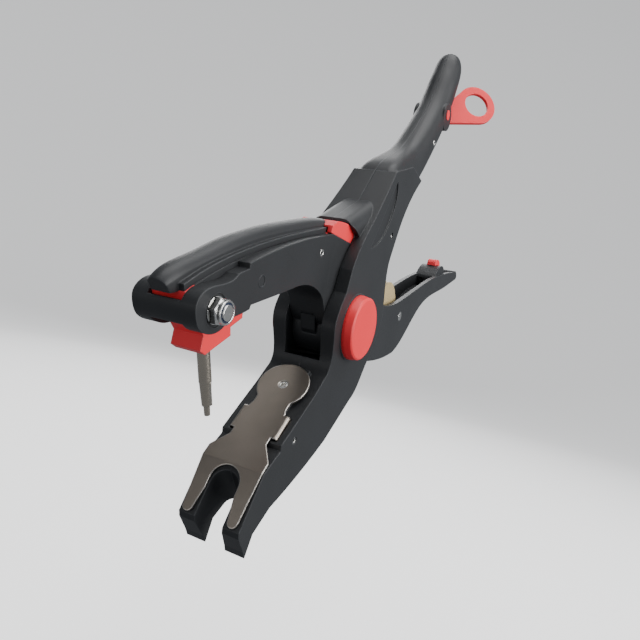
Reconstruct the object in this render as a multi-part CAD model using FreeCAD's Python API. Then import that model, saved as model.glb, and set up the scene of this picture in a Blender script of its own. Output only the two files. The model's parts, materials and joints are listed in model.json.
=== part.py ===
import FreeCAD, Part
import math
import os

# Ear tag applicator: pliers whose sprung arm drives a pin through the tag held in a forked jaw.
# Built about the main pivot: X forward to the jaws, Y to the user's right, Z up, millimetres.
# The last step moves every piece so that the origin is the middle of the whole box.

V = FreeCAD.Vector
ALONG_Y = V(0, 1, 0)

# ---- driving dimensions ----
running_gap = 0.3          # between the rocker and the frame walls
seat_gap = 0.05            # between pieces that sit in one another
fit_gap = 0.05             # shaft in hole, on the radius

slot_half = 8.7            # half the slot between the frame walls
slot_floor = -17.0         # height of the slot floor
slot_roof = 43.2           # height of the slot roof, under the hood
hub_radius = 15.5          # rocker hub about the pivot
seat_radius = 15.3         # round flat on the frame that carries the cap
seat_face = 15.2           # Y of that flat

pivot_radius = 4.0         # pivot bolt shank
bush_wall = 2.5
bush_half = 7.4            # half the bush length
thrust_washer = 0.9
thrust_radius = 10.0
pivot_head_radius = 7.5
pivot_head_height = 4.0
pivot_nut_across = 13.0
pivot_nut_height = 5.0
pivot_recess = 3.0         # depth of the head recess in the frame wall
cap_radius = 14.7
cap_face_radius = 14.1
cap_height = 4.8
cap_wall = 1.5

tip_x = 102.8              # pin block hinge
tip_z = -3.9
tip_bolt_radius = 2.5
tip_nut_across = 8.0
tip_nut_height = 4.0
tip_washer = 0.6
tip_washer_radius = 4.4
tip_land = 10.9            # Y of the flats that the tip bolt clamps
arm_tip_half = 11.9        # half the arm width at its tip
block_half = 5.8           # half the pin block width
eye_radius = 4.6           # pin block eye about its bolt

pin_angle = 245.0          # direction of the applicator pin, degrees from X towards Z
pin_length = 23.0
pin_radius = 2.2
pin_point_radius = 1.15
pin_root_radius = 2.6      # the thicker root that sits in the block
pin_root = 6.5
pin_shoulder = 0.8         # how far the root stands out of the block

bar_foot_start = 31.5      # X where the flared foot of the spring bar begins
nub_half = 6.6             # half the width of the bridge over the lever
core_half = 3.5            # half the core plate thickness
lever_wall = 2.7
cross_pin_radius = 2.6
roll_pin_radius = 1.5
roll_pin_bore = 0.8

plate = 0.9                # tag clip sheet
clip_disc_radius = 11.3
clip_neck_half = 7.75
clip_waist_half = 8.4
clip_shoulder_half = 13.5
tab_half = 10.9            # half the width over the rolled tabs
tab_depth = 3.4
clip_screw_radius = 2.0
fork_half = 6.5            # half the fork slot at the clip
fork_mouth_half = 7.9
fork_back_half = 3.4       # half the fork slot at the back of the jaw
prong_half = 12.2          # half the width over the prong tips

ring_hole = 7.7            # latch ring
ring_radius = 12.4
ring_sheet = 2.0
ring_neck = 11.0
stud_x = -87.1
stud_z = 132.5
stud_radius = 2.8
lug_radius = 7.6
lug_drop = 1.3             # centre of the lug under the stud
lug_half = 9.2


# ---- helpers ----
def outline(*runs):
    """A face in the XZ plane. A run of three or more points is one smooth curve; straight edges join runs."""
    edges = []
    for index, run in enumerate(runs):
        places = [V(x, 0, z) for x, z in run]
        if len(places) == 2:
            edges.append(Part.makeLine(places[0], places[1]))
        if len(places) > 2:
            curve = Part.BSplineCurve()
            curve.interpolate(places)
            edges.append(curve.toShape())
        following = runs[(index + 1) % len(runs)][0]
        start = V(following[0], 0, following[1])
        if places[-1].distanceToPoint(start) > 1e-6:
            edges.append(Part.makeLine(places[-1], start))
    return Part.Face(Part.Wire(edges))


def slab(face, low, high):
    """The face from outline() made solid between two Y planes."""
    solid = face.extrude(V(0, high - low, 0))
    solid.translate(V(0, low, 0))
    return solid


def plan(points, low, high):
    """A prism on a closed XY outline between two heights."""
    wire = Part.makePolygon([V(x, y, low) for x, y in points + points[:1]])
    return Part.Face(wire).extrude(V(0, 0, high - low))


def rod(x, z, radius, low, high):
    """A round bar along Y."""
    return Part.makeCylinder(radius, high - low, V(x, low, z), ALONG_Y)


def tube(x, z, outer, inner, low, high):
    return rod(x, z, outer, low, high).cut(rod(x, z, inner, low, high))


def hexagon(x, z, across, low, high):
    """A hexagonal nut blank along Y."""
    corner = across / math.sqrt(3)
    ring = [(x + corner * math.cos(math.radians(60 * i)), z + corner * math.sin(math.radians(60 * i)))
            for i in range(6)]
    return slab(outline(*[[p] for p in ring]), low, high)


def mirrored(solid):
    return solid.mirror(V(0, 0, 0), ALONG_Y)


def oval(centre, tilt, half_depth, half_width, squareness, taper):
    """A closed superellipse across the handle, narrower in front by taper; tilt is the handle's direction."""
    across = V(math.cos(math.radians(tilt - 90)), 0, math.sin(math.radians(tilt - 90)))
    places = []
    for i in range(16):
        turn = 2 * math.pi * (i + 0.5) / 16
        c = math.cos(turn)
        s = math.sin(turn)
        d = half_depth * math.copysign(abs(c) ** (2 / squareness), c)
        w = half_width * math.copysign(abs(s) ** (2 / squareness), s)
        w = w * (1 - taper * (1 + d / half_depth) / 2)
        places.append(V(centre[0], 0, centre[1]) + across * d + ALONG_Y * w)
    curve = Part.BSplineCurve()
    curve.interpolate(Points=places, PeriodicFlag=True)
    return Part.Wire(curve.toShape())


# ---- frame: two moulded halves, head, handle and forked jaw ----
JAW_SLOPE = -47.6          # degrees, clip from its disc to its bend
FORK_SLOPE = -65.7         # degrees, clip from its bend to the prong tips
CLIP_CENTRE = V(27.7, 0, -29.6)
CLIP_BEND = 40.9           # from the disc centre to the bend, along the clip
CLIP_FORK = 21.6           # from the bend to the prong tips


def along(angle, distance, origin):
    """A point at a distance from another, at an angle in the XZ plane."""
    turn = math.radians(angle)
    return origin + V(math.cos(turn), 0, math.sin(turn)) * distance


BEND = along(JAW_SLOPE, CLIP_BEND, CLIP_CENTRE)
PRONG_TIP = along(FORK_SLOPE, CLIP_FORK, BEND)


def frame_side():
    """The frame seen from the side, without the grip."""
    return outline([(-20, 77.3), (-12, 65), (-1.7, 50.8), (8.6, 37.4), (15.6, 23.5)],
                   [(17.2, 13.2), (21.3, 4), (22, -0.6), (20, -7), (17, -14), (16.2, -18.5), (19.3, -25)],
                   [(25.8, -32.1)],
                   [(45, -50.3)],
                   [(44.6, -52.6)],
                   [(BEND.x - 1.2, BEND.z - 0.6)],
                   [(PRONG_TIP.x - 1.1, PRONG_TIP.z - 1.2)],
                   [(62.2, -83)],
                   [(56.5, -89.2)],
                   [(54.4, -92)],
                   [(52.2, -83.2)],
                   [(43, -74.9), (24, -64.8), (3.8, -51.8)],
                   [(-14.6, -34.4), (-22.6, -25.5), (-26.8, -14.6), (-31, -2), (-33.6, 8.1)],
                   [(-30.7, 17), (-28.4, 26), (-28.2, 34), (-30.4, 40.4), (-35.5, 52.3), (-45.2, 68.3), (-53.5, 78.3)],
                   [(-60.3, 85.3)],
                   [(-44, 87.5)])


def frame_sides():
    """The frame seen from behind: half its width at each height."""
    runs = [(112, 10.3), (79, 11.3), (64, 12.3), (50, 13.3), (28, 14.5), (8, 15.05),
            (-8, 14.95), (-20, 14.1), (-32, 14.1), (-50, 13.8), (-70, 13.6), (-94, 13.2)]
    curve = Part.BSplineCurve()
    curve.interpolate([V(0, half, z) for z, half in runs])
    low = runs[-1]
    high = runs[0]
    rest = Part.makePolygon([V(0, low[1], low[0]), V(0, 0, low[0]), V(0, 0, high[0]), V(0, high[1], high[0])])
    face = Part.Face(Part.Wire([curve.toShape()] + rest.Edges))
    face.translate(V(-120, 0, 0))
    return face.extrude(V(240, 0, 0))


def grip():
    """The handle above the head, lofted through ovals that turn rounder towards its end."""
    stations = [((-36, 70), 90, 16.0, 11.4, 5.0, 0.0), ((-38, 79.5), 92, 16.0, 11.4, 4.5, 0.04),
                ((-48.5, 87.6), 104, 13.0, 11.0, 3.6, 0.14), ((-57.7, 94.9), 122, 9.9, 10.8, 3.1, 0.2),
                ((-65.6, 103.6), 128, 9.5, 10.4, 2.7, 0.16), ((-71.7, 111.4), 127, 9.5, 10.0, 2.5, 0.1),
                ((-84.8, 130.6), 119, 9.4, 9.2, 2.3, 0.04), ((-93.2, 150), 111, 9.4, 8.6, 2.2, 0.0),
                ((-97.6, 163), 104, 8.8, 8.0, 2.1, 0.0), ((-99, 169.6), 101, 6.9, 6.4, 2.1, 0.0),
                ((-99.7, 173), 98, 4.0, 3.8, 2.0, 0.0), ((-99.9, 174), 98, 1.3, 1.2, 2.0, 0.0)]
    return Part.makeLoft([oval(*station) for station in stations], True, False)


def hood():
    """The cowl over the arm root."""
    face = outline([(-14, 62.9)], [(15.2, 44.9)], [(15.0, 42.6)], [(7.4, 39.4)], [(-14, 36)])
    block = slab(face, -10.9, 10.9)
    ridge = [e for e in block.Edges if e.Length > 30 and e.BoundBox.ZMax > 62]
    return block.makeFillet(6.0, ridge)


def lug():
    """The ear behind the grip that carries the latch ring."""
    return rod(stud_x, stud_z - lug_drop, lug_radius, -lug_half, lug_half)


def fork_slot():
    """The tapering slot between the prongs."""
    normal = V(-math.sin(math.radians(-FORK_SLOPE)), 0, -math.cos(math.radians(-FORK_SLOPE)))
    down = along(FORK_SLOPE, 1.0, V(0, 0, 0))
    wires = []
    for depth, half, start in ((-6.0, fork_half + 0.9, 0.2), (26.0, fork_back_half - 0.6, 10.4)):
        centre = BEND + normal * depth + down * (start + fork_half)
        left = centre - ALONG_Y * half
        right = centre + ALONG_Y * half
        crown = centre - down * half
        reach = down * 40
        arc = Part.Arc(left, crown, right).toShape()
        rest = Part.makePolygon([right, right + reach, left + reach, left])
        wires.append(Part.Wire([arc] + rest.Edges))
    return Part.makeLoft(wires, True, True)


def frame_half():
    """The right half of the frame; the left one is its mirror image."""
    body = slab(frame_side(), 0, 20).common(frame_sides())
    right = Part.makeBox(400, 30, 400, V(-200, 0, -200))
    body = body.fuse(rod(0, 0, seat_radius, 0, seat_face))
    body = body.fuse([grip().common(right), hood().common(right), lug().common(right)])
    corners = [bent(-11, 0, plate + seat_gap), bent(33, 0, plate + seat_gap), bent(33, 0, 8), bent(-11, 0, 8)]
    pad = outline(*[[(c.x, c.z)] for c in corners])
    body = body.fuse(slab(pad, 0, clip_neck_half - 0.6))
    return body


def frame_cuts():
    """All that is cut from the right half of the frame."""
    slot = outline([(40, slot_floor - 1.5)], [(14, slot_floor)], [(-50, slot_floor)], [(-50, 30)],
                   [(-30, slot_roof)], [(40, slot_roof)])
    cuts = [slab(slot, -1, slot_half)]
    cuts.append(rod(0, 0, pivot_radius + fit_gap, -1, 30))
    cuts.append(rod(0, 0, pivot_head_radius + 1.0, seat_face - pivot_recess, 30))
    lens = outline([(-23.8, 74), (-12.8, 56), (-0.6, 36.3)],
                   [(-0.6, 36.3), (-14.8, 44.7), (-23.4, 58.2), (-25.8, 66.4), (-23.8, 74)])
    shell = slab(lens, 0, 20)
    inner = frame_sides()
    inner.translate(V(0, -0.8, 0))
    cuts.append(shell.cut(inner))
    for x, z in FRAME_PINS:
        cuts.append(rod(x, z, roll_pin_radius + fit_gap, -1, 30))
    cuts.append(fork_slot())
    cuts.append(rod(stud_x, stud_z, stud_radius + fit_gap, -1, 30))
    cuts.append(ring_pocket())
    cuts.append(screw_hole())
    cuts.append(tab_room())
    return cuts


def tab_room():
    """The groove beside the pad for a folded tab of the clip."""
    inner = clip_waist_half - seat_gap
    outer = tab_half + 0.3
    corners = [bent(14, inner, -4), bent(26, inner, -4), bent(26, outer, -4), bent(14, outer, -4)]
    face = Part.Face(Part.makePolygon(corners + corners[:1]))
    return face.extrude(bent(0, 0, 8) - bent(0, 0, 0))


FRAME_PINS = [(-26.4, 47.7), (34.5, -49.2), (-71.6, 110.2)]


def ring_pocket():
    """The slit at the split line in which the tab of the latch ring swings."""
    reach = 24
    rim = []
    for angle in (130, 170, 210, 245):
        end = along(angle, reach, V(stud_x, 0, stud_z))
        rim.append((end.x, end.z))
    face = outline([(stud_x + 6.5, stud_z + 4.5)], rim, [(stud_x + 6.5, stud_z - 4.5)])
    return slab(face, -1, ring_sheet / 2 + 0.25)


def screw_hole():
    """The bore for the clip screw, square to the clip."""
    return Part.makeCylinder(clip_screw_radius + fit_gap, 12, along(JAW_SLOPE - 90, 11, CLIP_CENTRE),
                             along(JAW_SLOPE + 90, 1, V(0, 0, 0)))


# ---- rocker: arm, core plate and lever ----
SPLIT_ANGLE = 120.0        # the line through the pivot where arm and lever meet
ARM_PIN = (36.2, 26.2)
CROSS_PIN = (-81.7, 11.8)


def arm_side():
    """The arm seen from the side, with its half of the hub."""
    top = along(SPLIT_ANGLE, hub_radius, V(0, 0, 0))
    low = along(SPLIT_ANGLE + 180, hub_radius, V(0, 0, 0))
    return outline([(top.x, top.z)],
                   [(-3, 24), (2, 31), (8.5, 35.6)],
                   [(28.7, 35.6)],
                   [(49.1, 29.4), (70.3, 21.5), (89.2, 12.9)],
                   [(88.9, 11.1)],
                   [(94.7, 8.5), (107.2, 2.7), (112, -0.2), (113.6, -3.4), (112.7, -6.8), (110.4, -9.8),
                    (106.6, -11.2), (100.8, -10.7), (96.9, -8.5)],
                   [(93.9, -5.4), (86.9, -3), (83.7, -1.6)],
                   [(83.3, -0.1)],
                   [(64.8, 5.9)],
                   [(55.4, 9.1), (43.5, 12.1), (33.1, 11.6), (25.1, 8.2), (20.4, 2.5), (15.4, -1.8)],
                   [(15.4, -1.8), (13.6, -7.4), (low.x, low.z)])


def arm_plan():
    """The arm seen from above: parallel in the slot, then widening to the tip."""
    root = slot_half - running_gap
    return plan([(-40, -root), (26, -root), (113, -arm_tip_half), (130, -arm_tip_half),
                 (130, arm_tip_half), (113, arm_tip_half), (26, root), (-40, root)], -40, 60)


SEAT = [(112.6, -0.4), (98.4, 8.6), (84.2, 15.6), (67.4, 22.6), (47.1, 29.8), (28.7, 36.0)]


def lowered(points, drop):
    return [(x - 0.4 * drop, z - 0.9 * drop) for x, z in points]


# Crest, foot and half width of the spring bar at its stations, from the head to the nose.
BAR = [((23.6, 41.9), (24.6, 36.9), 4.2), ((31.7, 40.7), (30.2, 35.2), 4.2), ((47.1, 36.4), (45.2, 30.2), 4.2),
       ((67.4, 29.6), (64.9, 23.4), 4.2), ((84.2, 22.8), (81.4, 16.8), 4.2), ((98.4, 15.6), (95.4, 10.0), 4.2),
       ((110.8, 8.9), (107.4, 2.9), 4.2), ((117.2, 4.6), (112.6, -0.6), 4.0), ((119.6, 1.6), (115.4, -1.8), 3.4)]


def bar_rib(grow=0.0):
    """The rounded rib of the spring bar."""
    wires = []
    for crest, foot, half in BAR:
        top = V(crest[0], 0, crest[1])
        base = V(foot[0], 0, foot[1])
        out = ALONG_Y * (half + grow)
        eave = base + (top - base) * 0.55
        arc = Part.Arc(eave - out, top, eave + out).toShape()
        rest = Part.makePolygon([eave + out, base + out, base - out, eave - out])
        wires.append(Part.Wire([arc] + rest.Edges))
    return Part.makeLoft(wires, True, False)


def spring_bar():
    """The ridge along the top of the arm: a rounded rib on a flared foot."""
    foot = slab(outline(lowered(SEAT, -2.2)[::-1], SEAT), -6.1, 6.1)
    foot = foot.common(Part.makeBox(200, 20, 60, V(bar_foot_start, -10, -10)))
    return bar_rib().fuse(foot).removeSplitter()


def carrier_side():
    """The red runner under the spring bar; its tail shows beside the head."""
    return outline([(30.4, 35.6 + seat_gap)], [(30.4, 38.6)], [(26.5, 41.4), (17.5, 42.6), (9.4, 42.5)],
                   [(9.4, 42.5), (7.2, 39.6), (9.4, 35.6 + seat_gap)])


def spring_carrier():
    strip = outline([(x, z - seat_gap) for x, z in SEAT], lowered(SEAT, 2.9)[::-1])
    strip = slab(strip, -6.3, 6.3)
    tail = slab(carrier_side(), -8.2, 8.2)
    return strip.fuse(tail).cut(bar_rib(seat_gap)).cut(bar_foot_room())


def bar_foot_room():
    """The room for the flared foot of the spring bar."""
    return slab(outline(lowered(SEAT, -2.3)[::-1], [(x, z) for x, z in SEAT], [(20, 37)], [(20, 39.4)]), -6.2, 6.2)


def core_side(grow=0.0):
    """The core plate seen from the side: tongue, hub and round tail."""
    return outline([(44, 25 + grow)], [(20, 27 + grow), (0, 15 + grow), (-30, 10 + grow)],
                   [(-57, 17.5), (-57.8, 22), (-60.5, 25.8), (-69, 29 + grow), (-77.5, 25.5), (-82.5, 20), (-88, 12)],
                   [(-84, 4 - grow)], [(-62, -2 - grow), (-30, -8 - grow), (0, -12 - grow), (16, -5 - grow)],
                   [(26, 14 - grow)], [(44, 17 - grow)])


def core_plate():
    return slab(core_side(), -core_half, core_half)


def lever_side():
    """The lever seen from the side, with its half of the hub."""
    top = along(SPLIT_ANGLE, hub_radius, V(0, 0, 0))
    middle = along(SPLIT_ANGLE + 25, hub_radius, V(0, 0, 0))
    low = along(SPLIT_ANGLE + 180, hub_radius, V(0, 0, 0))
    floor = along(SPLIT_ANGLE + 150, hub_radius, V(0, 0, 0))
    return outline([(top.x, top.z), (-10.6, 11.3), (middle.x, middle.z)],
                   [(-24, 12)],
                   [(-50.4, 14.5), (-66.7, 16.9), (-88, 24.3), (-141.1, 44.3), (-162.2, 49.9), (-186.8, 54.8)],
                   [(-186.8, 54.8), (-193.6, 55.3), (-195.6, 53.4), (-193.2, 50.6)],
                   [(-171.9, 42.7), (-139.4, 32.2), (-119.5, 23.2), (-104.9, 10.4), (-89.7, -4.4), (-81.2, -9.6)],
                   [(-81.2, -9.6), (-64, -13.6), (-44.9, -15.7)],
                   [(-20, -15.7)],
                   [(floor.x, floor.z), (4.2, -14.9), (low.x, low.z)])


def hub_bore(half):
    """What the bush and the thrust washers need through the rocker hub."""
    bore = rod(0, 0, pivot_radius + fit_gap + bush_wall + seat_gap, -half, half)
    faces = [rod(0, 0, thrust_radius + seat_gap, bush_half + seat_gap, half + 1),
             rod(0, 0, thrust_radius + seat_gap, -half - 1, -bush_half - seat_gap)]
    return bore.fuse(faces)


def core_pocket():
    """The cavity round the core plate."""
    return slab(core_side(seat_gap), -core_half - seat_gap, core_half + seat_gap)


def jaw_arm():
    arm = slab(arm_side(), -13, 13).common(arm_plan())
    arm = arm.cut(channel_room())
    arm = arm.cut(core_pocket())
    clevis = outline([(82, -12)], [(82, 1.5)], [(92, 5.2), (98, 4.6), (tip_x, tip_z + eye_radius + 0.8)],
                     [(tip_x + 3.6, tip_z + 3.9)], [(tip_x + eye_radius + 0.6, tip_z + 0.8)],
                     [(tip_x + 7.6, tip_z - 6.4)], [(tip_x + 9, -20)])
    arm = arm.cut(slab(clevis, -block_half - running_gap, block_half + running_gap))
    arm = arm.cut(rod(tip_x, tip_z, tip_bolt_radius + fit_gap, -20, 20))
    arm = arm.cut(rod(*ARM_PIN, roll_pin_radius + fit_gap, -20, 20))
    land = tip_washer_radius + 0.9
    arm = arm.cut([rod(tip_x, tip_z, land, tip_land, 20), rod(tip_x, tip_z, land, -20, -tip_land)])
    return arm.cut(hub_bore(slot_half - running_gap))


def channel_room():
    """The channel along the top of the arm for the red runner."""
    low = [(x, z - 0.05) for x, z in lowered(SEAT, 2.9)]
    face = outline(low, [(24.5, 34.0)], [(24.5, 60)], [(130, 60)], [(130, low[0][1] - 0.2)])
    return slab(face, -6.35, 6.35)


def lever():
    half = slot_half - running_gap
    body = slab(lever_side(), -half, half)
    inside = outline([(-47, 60)], [(-47, -12.6)], [(-64, -11), (-80, -7), (-88.4, -2), (-103, 12.6), (-118, 26),
                     (-139, 35.4), (-171.5, 45.6)], [(-186, 49.8)], [(-186, 60)])
    body = body.cut(slab(inside, -half + lever_wall, half - lever_wall))
    body = body.fuse(nub())
    body = body.cut(core_pocket())
    body = body.cut(rod(*CROSS_PIN, cross_pin_radius + fit_gap, -20, 20))
    return body.cut(hub_bore(half))


def nub():
    """The arched bridge over the lever that the latch ring hooks."""
    face = outline([(-143.5, 42.8)], [(-143.5, 44.6), (-147, 49.2), (-152, 52.7), (-157.5, 54.2), (-162, 53),
                   (-164, 48.5)], [(-164, 46)])
    block = slab(face, -nub_half, nub_half)
    arch = outline([(-147, 38)], [(-147, 43.8), (-152.5, 48.2), (-160, 49.5)], [(-160, 38)])
    return block.cut(slab(arch, -nub_half + 2, nub_half - 2))


def nub_cap():
    face = outline([(-163.4, 53)], [(-163.4, 55), (-161, 57.4), (-157.5, 58), (-154, 57.4), (-151.8, 55)], [(-151.8, 53)])
    return slab(face, -2.9, 2.9).cut(nub())


# ---- pin block on the tip of the arm ----
def block_side():
    return outline([(79.3, -3.4)], [(79, -5)], [(84.8, -8.6)], [(83.7, -11.4)], [(95.6, -18.4)], [(98.6, -17.4)],
                   [(98.6, -12.6)], [(tip_x + 1.2, tip_z - eye_radius * 0.96), (tip_x + eye_radius, tip_z),
                    (tip_x, tip_z + eye_radius)], [(93, -0.4)], [(84, -2.6)])


def pin_place(distance):
    """A point on the centre line of the applicator pin, measured from the face of the block."""
    return along(pin_angle, distance, V(90.1, 0, -15.0))


def pin_block():
    block = slab(block_side(), -block_half, block_half)
    block = block.cut(rod(tip_x, tip_z, tip_bolt_radius + fit_gap, -20, 20))
    block = block.cut(rod(tip_x, tip_z, 3.8, block_half - 2.6, 20))
    socket = Part.makeCylinder(pin_root_radius + seat_gap, pin_root + 7, pin_place(-pin_root - seat_gap),
                               pin_place(1) - pin_place(0))
    return block.cut(socket)


def applicator_pin():
    """Stepped pin: shank, tapered middle with a thin rib, and a slim point."""
    way = pin_place(1) - pin_place(0)
    neck = 4.5 + 0.44 * pin_length
    root = Part.makeCylinder(pin_root_radius, pin_root + pin_shoulder, pin_place(-pin_root), way)
    shank = Part.makeCylinder(pin_radius, neck - pin_shoulder, pin_place(pin_shoulder), way)
    middle = Part.makeCone(pin_radius * 0.95, pin_radius * 0.76, 0.39 * pin_length, pin_place(neck), way)
    point = Part.makeCone(pin_point_radius, pin_point_radius * 0.9, 0.17 * pin_length,
                          pin_place(4.5 + 0.83 * pin_length), way)
    across = way.cross(ALONG_Y) * 0.25
    start = pin_place(neck)
    end = pin_place(neck + 0.37 * pin_length)
    rib = Part.Face(Part.makePolygon([start - across, start + across, end + across, end - across, start - across]))
    return shank.fuse([root, middle, point, rib.extrude(ALONG_Y * (pin_radius + 0.1))])


def coil(x, z, outer, wire, low, turns):
    """A closely wound flat-wire spring about Y, its turns marked off by grooves."""
    body = tube(x, z, outer, outer - wire, low, low + wire * turns)
    for i in range(1, turns):
        middle = low + wire * i
        body = body.cut(tube(x, z, outer + 1, outer - wire / 2, middle - wire / 10, middle + wire / 10))
    return body


def block_spring():
    """Two turns of wire round the tip bolt, in the side of the block."""
    return coil(tip_x, tip_z, 3.6, 0.8, block_half - 2.4, 2)


# ---- tag clip ----
def bent(u, y, depth=0.0):
    """A point on the clip: u along it from the disc centre, y across, depth behind its face."""
    if u <= CLIP_BEND:
        base = along(JAW_SLOPE, u, CLIP_CENTRE)
        base = along(JAW_SLOPE - 90, depth, base)
    else:
        base = along(FORK_SLOPE, u - CLIP_BEND, BEND)
        base = along(FORK_SLOPE - 90, depth, base)
    return V(base.x, y, base.z)


def sheet(points, angle):
    """A flat sheet on straight and curved runs of (u, y), as thick as the clip."""
    edges = []
    for index, run in enumerate(points):
        places = [bent(u, y) for u, y in run]
        if len(places) == 3:
            edges.append(Part.Arc(*places).toShape())
        if len(places) == 2:
            edges.append(Part.makeLine(*places))
        start = bent(*points[(index + 1) % len(points)][0])
        if places[-1].distanceToPoint(start) > 1e-6:
            edges.append(Part.makeLine(places[-1], start))
    face = Part.Face(Part.Wire(edges))
    return face.extrude(along(angle - 90, plate, V(0, 0, 0)))


def tag_clip():
    neck_u = math.sqrt(clip_disc_radius ** 2 - clip_neck_half ** 2)
    upper = sheet([[(neck_u, clip_neck_half), (-clip_disc_radius, 0), (neck_u, -clip_neck_half)],
                   [(12, -clip_neck_half)], [(13.4, -clip_waist_half)], [(26.4, -clip_waist_half)],
                   [(29, -clip_waist_half)], [(36.2, -clip_shoulder_half)], [(CLIP_BEND, -clip_shoulder_half)],
                   [(CLIP_BEND, clip_shoulder_half)], [(36.2, clip_shoulder_half)], [(29, clip_waist_half)],
                   [(13.4, clip_waist_half)], [(12, clip_neck_half)]], JAW_SLOPE)
    end = CLIP_BEND + CLIP_FORK
    start = CLIP_BEND + 0.0001
    crown = start + 0.8
    middle = (fork_mouth_half + prong_half) / 2
    tip = end - (prong_half - fork_mouth_half) / 2
    lower = sheet([[(start, clip_shoulder_half)], [(start, -clip_shoulder_half)],
                   [(tip, -prong_half), (end, -middle), (tip, -fork_mouth_half)],
                   [(crown + fork_half + 4, -fork_half)],
                   [(crown + fork_half, -fork_half), (crown, 0), (crown + fork_half, fork_half)],
                   [(crown + fork_half + 4, fork_half)],
                   [(tip, fork_mouth_half), (end, middle), (tip, prong_half)]], FORK_SLOPE)
    corner = [bent(CLIP_BEND, 0), bent(CLIP_BEND, 0, plate), bent(CLIP_BEND + 0.0001, 0, plate)]
    wedge = outline(*[[(c.x, c.z)] for c in corner])
    clip = upper.fuse([lower, slab(wedge, -clip_shoulder_half, clip_shoulder_half)])
    for side in (-1, 1):
        clip = clip.fuse(clip_tab(side))
    hole = Part.makeCylinder(clip_screw_radius + fit_gap, 8, bent(0, 0, 4), bent(0, 0, -1) - bent(0, 0, 0))
    return clip.cut(hole).removeSplitter()


def clip_tab(side):
    """A side tab rolled outwards and down beside the raised pad."""
    low = 14.4
    high = 25.6
    inner = tab_half - plate
    section = [(clip_waist_half - 0.4, 0), (inner, 0), (tab_half - 0.3, 0.3), (tab_half, 1.0), (tab_half, tab_depth),
               (inner, tab_depth), (inner, 1.4), (inner - 0.4, plate), (clip_waist_half - 0.4, plate)]
    corners = [bent(low, side * y, depth) for y, depth in section]
    face = Part.Face(Part.makePolygon(corners + corners[:1]))
    return face.extrude(bent(high, 0) - bent(low, 0))


def clip_screw():
    way = bent(0, 0, 1) - bent(0, 0, 0)
    shank = Part.makeCylinder(clip_screw_radius, 9, bent(0, 0, 0.3), way)
    return shank.cut(Part.makeCylinder(1.1, 1.6, bent(0, 0, 0.3), way))


# ---- fasteners, caps and springs ----
def pivot_bolt():
    seat = seat_face - pivot_recess
    shank = rod(0, 0, pivot_radius, -seat - pivot_nut_height, seat)
    head = rod(0, 0, pivot_head_radius, seat, seat + pivot_head_height)
    socket = hexagon(0, 0, 5.0, seat + 1.6, seat + 6)
    return shank.fuse(head).cut(socket)


def pivot_nut():
    seat = seat_face - pivot_recess
    nut = hexagon(0, 0, pivot_nut_across, -seat - pivot_nut_height, -seat)
    return nut.cut(rod(0, 0, pivot_radius + seat_gap, -40, 0))


def pivot_bush():
    return tube(0, 0, pivot_radius + fit_gap + bush_wall, pivot_radius + fit_gap, -bush_half, bush_half)


def thrust_washers():
    inner = pivot_radius + fit_gap
    start = bush_half + seat_gap * 2
    one = tube(0, 0, thrust_radius, inner, start, start + thrust_washer)
    return Part.makeCompound([one, mirrored(one)])


def pivot_cap():
    """A round cap with a chamfered rim, hollow over the bolt head."""
    profile = [V(0, seat_face, 0), V(cap_radius, seat_face, 0), V(cap_radius, seat_face + 1.2, 0),
               V(cap_face_radius, seat_face + cap_height - 0.6, 0), V(cap_face_radius - 0.8, seat_face + cap_height, 0),
               V(0, seat_face + cap_height, 0), V(0, seat_face, 0)]
    solid = Part.Face(Part.makePolygon(profile)).revolve(V(0, 0, 0), ALONG_Y, 360)
    hollow = rod(0, 0, pivot_head_radius + 1.0, seat_face - 1, seat_face + cap_height - cap_wall)
    return solid.cut(hollow)


def return_spring():
    """Two turns of wire round the bush, in the side of the hub."""
    return coil(0, 0, 9.3, 1.4, 4.2, 2)


def spring_room():
    return tube(0, 0, 9.6, 6.5, 3.9, bush_half + 0.2)


def tip_bolt():
    low = -tip_land
    shank = rod(tip_x, tip_z, tip_bolt_radius, low, tip_land + tip_washer + tip_nut_height + 0.3)
    head = rod(tip_x, tip_z, 4.3, low - 2.8, low)
    return shank.fuse(head).cut(hexagon(tip_x, tip_z, 3.0, low - 4, low - 1.2))


def tip_washer_ring():
    low = tip_land
    return tube(tip_x, tip_z, tip_washer_radius, tip_bolt_radius + fit_gap, low, low + tip_washer)


def lock_nut():
    low = tip_land + tip_washer
    body = hexagon(tip_x, tip_z, tip_nut_across, low, low + tip_nut_height * 0.62)
    collar = rod(tip_x, tip_z, tip_nut_across * 0.47, low, low + tip_nut_height)
    bore = rod(tip_x, tip_z, tip_bolt_radius + seat_gap, low - 1, low + 9)
    seat = rod(tip_x, tip_z, 3.2, low + tip_nut_height * 0.6, low + 9)
    return body.fuse(collar).cut([bore, seat])


def nut_insert():
    low = tip_land + tip_washer
    return tube(tip_x, tip_z, 3.15, tip_bolt_radius + seat_gap, low + tip_nut_height * 0.62, low + tip_nut_height - 0.2)


def roll_pin(x, z, half):
    return tube(x, z, roll_pin_radius, roll_pin_bore, -half, half)


def frame_pins():
    return Part.makeCompound([roll_pin(*place, half) for place, half in zip(FRAME_PINS, (12.9, 13.6, 9.9))])


def arm_pin():
    return roll_pin(*ARM_PIN, 8.9)


def cross_pin():
    half = slot_half - running_gap
    return rod(*CROSS_PIN, cross_pin_radius, -half, half)


# ---- latch ring ----
RING_CENTRE = V(-116.4, 16.4, 150.8)
RING_NORMAL = V(0.774, 0.577, 0.261)


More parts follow.
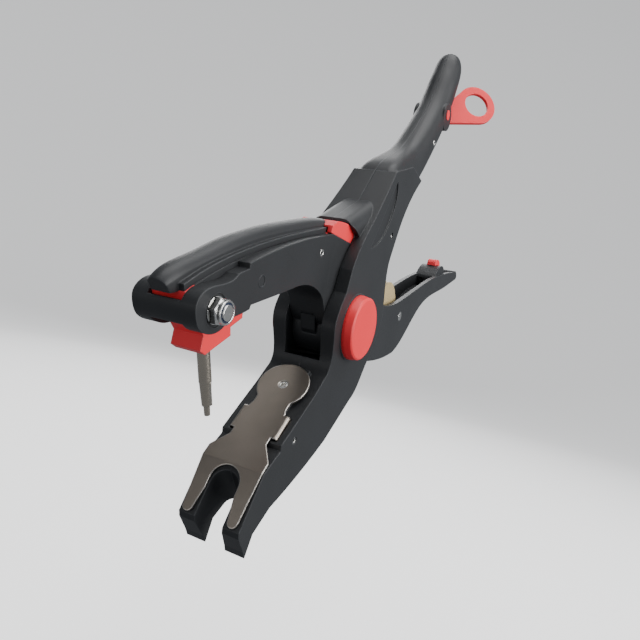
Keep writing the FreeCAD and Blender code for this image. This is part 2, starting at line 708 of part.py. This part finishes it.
def latch_ring():
    """A flexible ring and neck, bent out of the tab that is pinned in the grip."""
    normal = V(RING_NORMAL)
    normal.normalize()
    stud = V(stud_x, 0, stud_z)
    edge = normal.cross(ALONG_Y)
    edge.normalize()
    gap = normal.dot(RING_CENTRE) - normal.dot(stud)
    rear = V(edge.z, 0, -edge.x)
    fold = stud + rear * (gap / normal.dot(rear))
    lift = edge * edge.dot(RING_CENTRE - stud) * 0.28
    fold = fold + lift
    half_neck = edge * (ring_neck / 2)
    tab = Part.Face(Part.makePolygon([stud - half_neck * 0.8, fold - half_neck, fold + half_neck,
                                      stud + half_neck * 0.8, stud - half_neck * 0.8]))
    tab = tab.extrude(ALONG_Y * ring_sheet)
    tab.translate(ALONG_Y * (-ring_sheet / 2))
    tab = tab.fuse(rod(stud_x, stud_z, ring_neck * 0.42, -ring_sheet / 2, ring_sheet / 2))
    reach = (RING_CENTRE - fold)
    side = normal.cross(reach)
    side.normalize()
    flare = math.asin(ring_radius / math.hypot(reach.Length, ring_neck / 2)) - math.atan(ring_neck / 2 / reach.Length)
    forward = V(reach).normalize()
    far = RING_CENTRE - forward * (ring_radius * math.sin(flare))
    width = side * (ring_radius * math.cos(flare))
    neck = Part.Face(Part.makePolygon([fold - half_neck, far - width, far + width, fold + half_neck, fold - half_neck]))
    neck = neck.extrude(normal * ring_sheet)
    neck.translate(normal * (-ring_sheet / 2))
    joint = Part.makeCylinder(ring_sheet / 2, ring_neck, fold - half_neck, edge)
    annulus = Part.makeCylinder(ring_radius, ring_sheet, RING_CENTRE - normal * (ring_sheet / 2), normal)
    hole = Part.makeCylinder(ring_hole, ring_sheet * 3, RING_CENTRE - normal * (ring_sheet * 1.5), normal)
    body = annulus.fuse([neck, joint, tab]).cut(hole)
    return body.cut(rod(stud_x, stud_z, stud_radius + fit_gap, -20, 20))


def ring_stud():
    return rod(stud_x, stud_z, stud_radius, -lug_half - 0.3, lug_half + 0.3)


def build():
    frame = frame_half()
    for cutter in frame_cuts():
        frame = frame.cut(cutter)
    arm = jaw_arm().cut(spring_room())
    handle = lever().cut(spring_room())
    cap = pivot_cap()
    pieces = {
        "frame_right": frame, "frame_left": mirrored(frame), "jaw_arm": arm, "core_plate": core_plate(),
        "spring_bar": spring_bar(), "bar_carrier": spring_carrier(), "lever": handle, "lever_cross_pin": cross_pin(),
        "nub_cap": nub_cap(), "pin_block": pin_block(), "applicator_pin": applicator_pin(),
        "block_spring": block_spring(), "tip_bolt": tip_bolt(), "tip_washer": tip_washer_ring(),
        "lock_nut": lock_nut(), "nut_insert": nut_insert(), "tag_clip": tag_clip(), "clip_screw": clip_screw(),
        "pivot_bolt": pivot_bolt(), "pivot_nut": pivot_nut(), "pivot_bush": pivot_bush(),
        "thrust_washers": thrust_washers(), "pivot_cap_right": cap, "pivot_cap_left": mirrored(cap),
        "return_spring": return_spring(), "frame_pins": frame_pins(), "arm_pin": arm_pin(),
        "latch_ring": latch_ring(), "ring_stud": ring_stud(),
    }
    core_bore = rod(0, 0, pivot_radius + fit_gap + bush_wall + seat_gap, -20, 20)
    core_bore = core_bore.fuse([rod(*CROSS_PIN, cross_pin_radius + fit_gap, -20, 20),
                                rod(*ARM_PIN, roll_pin_radius + fit_gap, -20, 20)])
    pieces["core_plate"] = pieces["core_plate"].cut(core_bore)
    return pieces


def main():
    pieces = build()
    box = Part.makeCompound(list(pieces.values())).optimalBoundingBox(False)
    centre = V(box.XMin + box.XMax, box.YMin + box.YMax, box.ZMin + box.ZMax) * 0.5
    print("box", box.XLength, box.YLength, box.ZLength, "centre", centre)
    os.makedirs("parts", exist_ok=True)
    for name, shape in pieces.items():
        print(name, len(shape.Solids), shape.isValid(), round(shape.Volume, 1))
        shape.translate(V(0, 0, 0) - centre)
        shape.exportStep("parts/" + name + ".step")


main()
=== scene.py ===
# %% [markdown]
# # An ear tag applicator, dressed and lit
# The tool is a pair of livestock pliers: a black moulded frame, a sprung arm with a folding steel
# pin, a forked jaw under a bent steel clip, and red caps, runner and latch ring. The solids come
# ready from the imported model, in metres, so this script only gives them finishes, adds the small
# moulded details, and sets up the camera, the floor and the light.

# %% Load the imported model
import json
import math

import bpy
from mathutils import Matrix, Vector


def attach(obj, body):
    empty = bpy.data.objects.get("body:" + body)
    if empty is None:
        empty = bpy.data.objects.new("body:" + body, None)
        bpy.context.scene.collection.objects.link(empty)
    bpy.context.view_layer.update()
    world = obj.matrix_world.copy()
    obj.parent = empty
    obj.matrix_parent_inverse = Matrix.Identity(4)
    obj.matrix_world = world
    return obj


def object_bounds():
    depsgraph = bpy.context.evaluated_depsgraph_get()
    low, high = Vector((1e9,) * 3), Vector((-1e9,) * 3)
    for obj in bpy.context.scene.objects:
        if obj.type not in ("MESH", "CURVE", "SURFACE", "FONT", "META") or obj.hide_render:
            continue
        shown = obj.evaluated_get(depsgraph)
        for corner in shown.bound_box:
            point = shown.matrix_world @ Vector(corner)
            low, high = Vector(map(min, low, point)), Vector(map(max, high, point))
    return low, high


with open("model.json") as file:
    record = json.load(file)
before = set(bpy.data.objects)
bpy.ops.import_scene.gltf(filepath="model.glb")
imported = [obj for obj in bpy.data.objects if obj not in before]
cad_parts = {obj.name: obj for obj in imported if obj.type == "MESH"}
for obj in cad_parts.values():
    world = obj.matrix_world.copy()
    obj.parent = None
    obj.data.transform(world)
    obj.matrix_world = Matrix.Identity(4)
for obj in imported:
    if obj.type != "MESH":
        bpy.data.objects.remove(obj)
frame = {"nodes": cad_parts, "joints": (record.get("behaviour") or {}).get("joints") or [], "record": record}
nodes = frame["nodes"]
cad_low, cad_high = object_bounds()
print(len(nodes), "nodes, box", [round(v, 4) for v in cad_high - cad_low])

# %% [markdown]
# Everything is placed from the main pivot, because that is the one point that the frame and the
# rocker share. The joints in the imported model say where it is.

# %% The pivots that the other places are measured from
MM = 0.001
joint_place = {joint["name"]: Vector(joint["pos_m"]) for joint in frame["joints"]}
pivot = joint_place["main_pivot"]
tip = joint_place["block_hinge"]


def from_pivot(x, y, z):
    """A place given in millimetres from the main pivot."""
    return pivot + Vector((x, y, z)) * MM


print("main pivot", [round(v, 4) for v in pivot], "pin block hinge", [round(v, 4) for v in tip])

# %% [markdown]
# ## The camera
# The camera stands in front of the jaws and to the right, looks level, and is tilted about its own
# line of sight, so that the handles rise across the frame. Its axes are given one by one: right,
# up and backwards are the three columns of its rotation.

# %% The camera
LOOK = Vector((-0.9066, -0.4221, 0.0)).normalized()
CAMERA_TILT = math.radians(12.3)
level_right = LOOK.cross(Vector((0, 0, 1))).normalized()
camera_right = Matrix.Rotation(-CAMERA_TILT, 3, LOOK) @ level_right
camera_up = camera_right.cross(LOOK)
camera_data = bpy.data.cameras.new("camera")
camera_data.sensor_width = 36.0
camera_data.lens = 33.98
camera_data.clip_start = 0.01
camera = bpy.data.objects.new("camera", camera_data)
axes = Matrix((camera_right, camera_up, -LOOK)).transposed()
camera.matrix_world = Matrix.Translation(from_pivot(252.6, 115.0, -0.1)) @ axes.to_4x4()
bpy.context.scene.collection.objects.link(camera)
bpy.context.scene.camera = camera
print("camera right", [round(v, 3) for v in camera_right])

# %% [markdown]
# ## Floor and backdrop
# A photographer's sweep is a floor that curves up into a wall, so that no line shows behind the
# object. Its profile is drawn once and spun round the middle.

# %% The sweep
FLOOR_DROP = 0.10
SWEEP_RADIUS = 2.4
SWEEP_CURVE = 0.9
SWEEP_HEIGHT = 3.2
WHOLE_TURN = 2 * math.pi
floor_height = cad_low.z - FLOOR_DROP
profile = [(0.0, 0.0), (SWEEP_RADIUS - SWEEP_CURVE, 0.0)]
for step in range(1, 13):
    turn = math.pi / 2 * step / 12
    profile.append((SWEEP_RADIUS - SWEEP_CURVE + SWEEP_CURVE * math.sin(turn),
                    SWEEP_CURVE - SWEEP_CURVE * math.cos(turn)))
profile.append((SWEEP_RADIUS, SWEEP_HEIGHT))
sweep_mesh = bpy.data.meshes.new("sweep")
sweep_mesh.from_pydata([(r, 0.0, z + floor_height) for r, z in profile],
                       [(i, i + 1) for i in range(len(profile) - 1)], [])
sweep = bpy.data.objects.new("sweep", sweep_mesh)
bpy.context.scene.collection.objects.link(sweep)
bpy.ops.object.select_all(action="DESELECT")
bpy.context.view_layer.objects.active = sweep
sweep.select_set(True)
bpy.ops.object.mode_set(mode="EDIT")
bpy.ops.mesh.select_all(action="SELECT")
bpy.ops.mesh.spin(steps=64, angle=WHOLE_TURN, center=(0, 0, 0), axis=(0, 0, 1))
bpy.ops.mesh.select_all(action="SELECT")
bpy.ops.mesh.remove_doubles(threshold=0.0001)
bpy.ops.mesh.normals_make_consistent(inside=True)
bpy.ops.object.mode_set(mode="OBJECT")
bpy.ops.object.shade_smooth()
print("floor at", round(floor_height, 3))

# %% [markdown]
# The paper glows a little of its own, a painted pool of light, brighter near the tool than at the wall, and
# the tool doesn't see it: a white room would wash out black plastic and flatten the steel, which need dark to reflect.

# %% The sweep's matt paper, with a painted glow
paper = bpy.data.materials.new("pale_paper_with_painted_glow")
paper.use_nodes = True
paper_tree = paper.node_tree
paper_shader = paper_tree.nodes["Principled BSDF"]
paper_shader.inputs["Base Color"].default_value = (0.5, 0.5, 0.5, 1.0)
paper_shader.inputs["Roughness"].default_value = 0.9
paper_shader.inputs["Specular IOR Level"].default_value = 0.1
paper_place = paper_tree.nodes.new("ShaderNodeTexCoord")
paper_distance = paper_tree.nodes.new("ShaderNodeVectorMath")
paper_distance.operation = "LENGTH"
paper_tree.links.new(paper_place.outputs["Object"], paper_distance.inputs[0])
# Painted light: the paper's emission is strongest near the middle and fades towards the wall.
painted_light_falloff = paper_tree.nodes.new("ShaderNodeMapRange")
painted_light_falloff.interpolation_type = "SMOOTHSTEP"
for socket, value in (("From Min", 0.2), ("From Max", 1.9), ("To Min", 1.15), ("To Max", 0.52)):
    painted_light_falloff.inputs[socket].default_value = value
paper_tree.links.new(paper_distance.outputs["Value"], painted_light_falloff.inputs["Value"])
paper_shader.inputs["Emission Color"].default_value = (1.0, 1.0, 1.0, 1.0)
paper_tree.links.new(painted_light_falloff.outputs["Result"], paper_shader.inputs["Emission Strength"])
sweep.data.materials.append(paper)
sweep.visible_diffuse = False
sweep.visible_glossy = False

# %% [markdown]
# ## Light
# Large soft panels stand round the tool: a wide one above, one on its right that makes the side
# faces lighter than the front, and a weak one from the front. The open sky over the sweep fills
# the shadows.

# %% Soft studio light
world = bpy.data.worlds.new("studio")
world.use_nodes = True
world.node_tree.nodes["Background"].inputs["Color"].default_value = (0.88, 0.93, 1.0, 1.0)
world.node_tree.nodes["Background"].inputs["Strength"].default_value = 0.32
bpy.context.scene.world = world


def soft_panel(name, place, power, width, height):
    """An area light that faces the main pivot, placed in millimetres from it."""
    panel_data = bpy.data.lights.new(name, "AREA")
    panel_data.shape = "RECTANGLE"
    panel_data.size = width
    panel_data.size_y = height
    panel_data.energy = power
    panel = bpy.data.objects.new(name, panel_data)
    panel.location = from_pivot(*place)
    panel.rotation_euler = (pivot - panel.location).to_track_quat("-Z", "Y").to_euler()
    bpy.context.scene.collection.objects.link(panel)
    return panel


PANELS = {"panel_above": ((100, 200, 1300), 22.0, 1.2, 1.2), "panel_right": ((-150, 1300, 350), 30.0, 1.0, 1.2),
          "panel_front": ((1300, -200, -150), 5.0, 0.9, 0.9), "panel_behind": ((-1000, -700, 700), 14.0, 1.0, 1.0)}
for panel_name, panel_setting in PANELS.items():
    soft_panel(panel_name, *panel_setting)
print(len(PANELS), "soft panels")

# %% [markdown]
# ## Finishes
# A moulded plastic is never one flat colour: it has cloudy tone, a fine grain, and edges painted
# lighter, partly as wear from handling and partly as a painted highlight. Each finish here is built the
# same way, so one function makes the node tree, and the table under it says what is special about each.
# The edge mask compares the true normal with the one that a Bevel node rounds off: where they
# differ, there is an edge.

# %% One function for a finish
def link_nodes(tree, source, output, target, socket):
    tree.links.new(source.outputs[output], target.inputs[socket])


def noise(tree, coordinates, scale, detail, stretch=(1, 1, 1)):
    """A noise on the piece's own coordinates, stretched along an axis if asked."""
    mapping = tree.nodes.new("ShaderNodeMapping")
    mapping.inputs["Scale"].default_value = stretch
    link_nodes(tree, coordinates, "Object", mapping, "Vector")
    cloud = tree.nodes.new("ShaderNodeTexNoise")
    cloud.inputs["Scale"].default_value = scale
    cloud.inputs["Detail"].default_value = detail
    link_nodes(tree, mapping, "Vector", cloud, "Vector")
    return cloud


def ramp(tree, source, output, low, high, low_value, high_value):
    """Map a value from one range to another."""
    spread = tree.nodes.new("ShaderNodeMapRange")
    spread.inputs["From Min"].default_value = low
    spread.inputs["From Max"].default_value = high
    spread.inputs["To Min"].default_value = low_value
    spread.inputs["To Max"].default_value = high_value
    link_nodes(tree, source, output, spread, "Value")
    return spread


def edge_mask(tree, radius):
    """Where the surface turns sharply: 0 on flats, 1 on edges."""
    rounded = tree.nodes.new("ShaderNodeBevel")
    rounded.samples = 6
    rounded.inputs["Radius"].default_value = radius
    geometry = tree.nodes.new("ShaderNodeNewGeometry")
    compare = tree.nodes.new("ShaderNodeVectorMath")
    compare.operation = "DOT_PRODUCT"
    link_nodes(tree, rounded, "Normal", compare, 0)
    link_nodes(tree, geometry, "Normal", compare, 1)
    return ramp(tree, compare, "Value", 0.995, 0.85, 0.0, 1.0), rounded


def finish(name, tone, edge, metallic, roughness, grain, grain_size, cloud=0.12, stretch=(1, 1, 1)):
    """A material with cloudy colour, fine grain in bump and roughness, and edges painted lighter: part wear, part
    painted highlight.
    """
    material = bpy.data.materials.new(name)
    material.use_nodes = True
    tree = material.node_tree
    shader = tree.nodes["Principled BSDF"]
    shader.inputs["Metallic"].default_value = metallic
    shader.inputs["Specular IOR Level"].default_value = 0.5 if metallic else 0.3
    coordinates = tree.nodes.new("ShaderNodeTexCoord")
    clouds = noise(tree, coordinates, 38.0, 4.0)
    fine = noise(tree, coordinates, grain_size, 3.0, stretch)
    mask, rounded = edge_mask(tree, 0.7 * MM)
    shade = ramp(tree, clouds, "Fac", 0.3, 0.7, 1.0 - cloud, 1.0 + cloud)
    base = tree.nodes.new("ShaderNodeVectorMath")
    base.operation = "SCALE"
    base.inputs[0].default_value = tone
    link_nodes(tree, shade, "Result", base, "Scale")
    # The edge colour goes on along the edges: partly wear, partly a painted highlight.
    wear_and_painted_highlight = tree.nodes.new("ShaderNodeMix")
    wear_and_painted_highlight.data_type = "RGBA"
    wear_and_painted_highlight.inputs[7].default_value = (*edge, 1.0)
    link_nodes(tree, base, "Vector", wear_and_painted_highlight, 6)
    breakup = tree.nodes.new("ShaderNodeMath")
    breakup.operation = "MULTIPLY"
    link_nodes(tree, mask, "Result", breakup, 0)
    link_nodes(tree, fine, "Fac", breakup, 1)
    link_nodes(tree, breakup, "Value", wear_and_painted_highlight, 0)
    tree.links.new(wear_and_painted_highlight.outputs[2], shader.inputs["Base Color"])
    polish = ramp(tree, fine, "Fac", 0.25, 0.75, roughness - 0.07, roughness + 0.07)
    link_nodes(tree, polish, "Result", shader, "Roughness")
    bump = tree.nodes.new("ShaderNodeBump")
    bump.inputs["Strength"].default_value = grain
    bump.inputs["Distance"].default_value = 0.1 * MM
    link_nodes(tree, fine, "Fac", bump, "Height")
    link_nodes(tree, rounded, "Normal", bump, "Normal")
    link_nodes(tree, bump, "Normal", shader, "Normal")
    return material


# %% The finishes of this tool
ALONG_BRUSH = (1, 12, 1)
# The second colour in each finish is its edge colour, partly wear and partly a painted highlight along the edges.
FINISHES = {
    "black_moulding": finish("black_moulding", (0.017, 0.018, 0.0195), (0.07, 0.075, 0.08), 0.0, 0.46, 0.25, 2600),
    "red_moulding": finish("red_moulding", (0.80, 0.030, 0.038), (0.90, 0.12, 0.12), 0.0, 0.45, 0.15, 2200, 0.05),
    "clip_steel": finish("clip_steel", (0.25, 0.215, 0.18), (0.85, 0.83, 0.80), 1.0, 0.34, 0.2, 900, 0.14, ALONG_BRUSH),
    "pin_steel": finish("pin_steel", (0.47, 0.42, 0.35), (0.80, 0.77, 0.70), 1.0, 0.27, 0.1, 1500, 0.08),
    "zinc_steel": finish("zinc_steel", (0.66, 0.65, 0.62), (0.92, 0.91, 0.89), 1.0, 0.22, 0.1, 1800, 0.08),
    "nut_nylon": finish("nut_nylon", (0.012, 0.02, 0.05), (0.04, 0.06, 0.10), 0.0, 0.38, 0.1, 2200),
    "core_plastic": finish("core_plastic", (0.40, 0.31, 0.16), (0.52, 0.43, 0.26), 0.0, 0.55, 0.2, 2000, 0.08),
    "bronze": finish("bronze", (0.58, 0.42, 0.20), (0.80, 0.66, 0.40), 1.0, 0.35, 0.1, 1500),
    "spring_steel": finish("spring_steel", (0.42, 0.42, 0.43), (0.80, 0.80, 0.80), 1.0, 0.30, 0.1, 1500),
}
print(len(FINISHES), "finishes")

# %% [markdown]
# Each node already knows its material slot from the model's record, so the finish goes on by name.

# %% Give every node its finish
slot_of = {part["node"]: part["material_slot"] for part in frame["record"]["subparts"]}
for node_name, node in nodes.items():
    node.data.materials.clear()
    node.data.materials.append(FINISHES[slot_of[node_name]])
print(sum(name in slot_of for name in nodes), "nodes dressed")

# %% [markdown]
# ## Two-coloured mouldings
# The runner under the spring bar is red only where it comes out, at its tail beside the head and at
# its nose over the pin block, and the core plate is tan only on its round tail. Between, both are as
# black as what they sit in. One shader can hold both colours, switched by the place along X.

# %% Switch a finish between two colours along X
def two_tone(name, base_finish, low, high, between):
    """A copy of a finish whose colour is another one between two places along X."""
    material = base_finish.copy()
    material.name = name
    tree = material.node_tree
    shader = tree.nodes["Principled BSDF"]
    old = shader.inputs["Base Color"].links[0].from_socket
    coordinates = tree.nodes.new("ShaderNodeTexCoord")
    split = tree.nodes.new("ShaderNodeSeparateXYZ")
    tree.links.new(coordinates.outputs["Object"], split.inputs[0])
    middle = (low + high) / 2
    inside = tree.nodes.new("ShaderNodeMath")
    inside.operation = "COMPARE"
    inside.inputs[1].default_value = middle
    inside.inputs[2].default_value = (high - low) / 2
    tree.links.new(split.outputs["X"], inside.inputs[0])
    switch = tree.nodes.new("ShaderNodeMix")
    switch.data_type = "RGBA"
    switch.inputs[7].default_value = (*between, 1.0)
    tree.links.new(inside.outputs["Value"], switch.inputs[0])
    tree.links.new(old, switch.inputs[6])
    tree.links.new(switch.outputs[2], shader.inputs["Base Color"])
    return material


BLACK = (0.017, 0.018, 0.0195)
runner_finish = two_tone("runner_red", FINISHES["red_moulding"], from_pivot(31, 0, 0).x, from_pivot(109, 0, 0).x, BLACK)
core_finish = two_tone("core_tan", FINISHES["core_plastic"], from_pivot(-40, 0, 0).x, from_pivot(60, 0, 0).x, BLACK)
for node_name, two_colours in (("bar_carrier", runner_finish), ("core_plate", core_finish)):
    nodes[node_name].data.materials[0] = two_colours
print("runner and core plate in two colours")

# %% [markdown]
# ## A small moulded detail
# One mark stands on the right side of the arm: a round ejector ring near the tip. It is a small ring,
# modelled as a circle that is extruded, inset and bevelled. It rides with its body.

# %% A raised ring, pressed out of a circle
def raised_ring(name, place, radius, wall, height, body, material):
    """A low round rim on a side face, its axis across the tool."""
    bpy.ops.object.select_all(action="DESELECT")
    bpy.ops.mesh.primitive_circle_add(vertices=40, radius=radius * MM, fill_type="NGON",
                                      location=from_pivot(*place), rotation=(math.radians(90), 0, 0))
    ring = bpy.context.active_object
    ring.name = name
    bpy.ops.object.transform_apply(location=True, rotation=True, scale=True)
    bpy.ops.object.mode_set(mode="EDIT")
    bpy.ops.mesh.select_all(action="SELECT")
    bpy.ops.mesh.inset(thickness=wall * MM)
    bpy.ops.mesh.delete(type="ONLY_FACE")
    bpy.ops.mesh.select_all(action="SELECT")
    bpy.ops.mesh.extrude_region_move(TRANSFORM_OT_translate={"value": (0, height * MM, 0)})
    bpy.ops.mesh.select_all(action="SELECT")
    bpy.ops.mesh.normals_make_consistent(inside=False)
    bpy.ops.object.mode_set(mode="OBJECT")
    soften = ring.modifiers.new("soften", "BEVEL")
    soften.width = height * 0.3 * MM
    soften.segments = 2
    bpy.ops.object.modifier_apply(modifier="soften")
    bpy.ops.object.shade_smooth_by_angle(angle=math.radians(40))
    ring.data.materials.append(material)
    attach(ring, body)
    return ring


def side_of_arm(x):
    """Half the arm's width at a distance in front of the pivot, in millimetres."""
    return 8.4 + (11.9 - 8.4) * (x - 26) / (113 - 26)


ejector = raised_ring("ejector_ring", (79.5, side_of_arm(79.5) - 0.3, 8.4), 2.3, 0.5, 0.45, "rocker",
                      FINISHES["black_moulding"])
print("ejector ring has", len(ejector.data.polygons), "faces")
